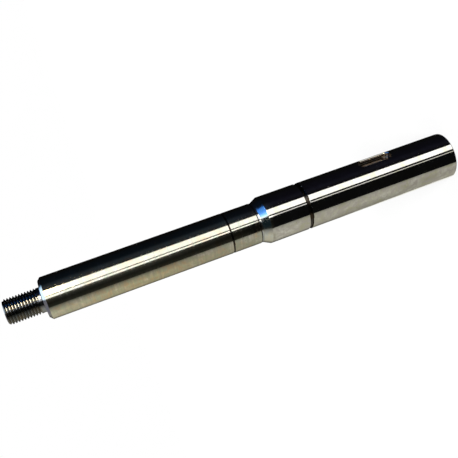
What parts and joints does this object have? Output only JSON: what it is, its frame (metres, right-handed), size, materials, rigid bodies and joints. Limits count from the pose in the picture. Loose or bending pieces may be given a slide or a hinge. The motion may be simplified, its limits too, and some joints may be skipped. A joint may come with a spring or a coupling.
{
  "type": "motor shaft",
  "caption": "Stepped steel motor shaft with a keyed thick journal, a ring groove, a tapered step, a ground slender journal and a threaded end.",
  "frame": {"origin": "centre of the thick end's flat face, on the shaft's axis", "axes": "+Z along the axis from the thick end to the threaded end, +X from the axis to the middle of the keyway"},
  "size_m": [0.035, 0.035, 0.3405],
  "materials": {
    "shaft_steel": "bright stainless steel: the slender journal ground, the thick journal polished"
  },
  "bodies": {
    "root": {"motor_shaft": "shaft_steel"}
  },
  "joints": []
}
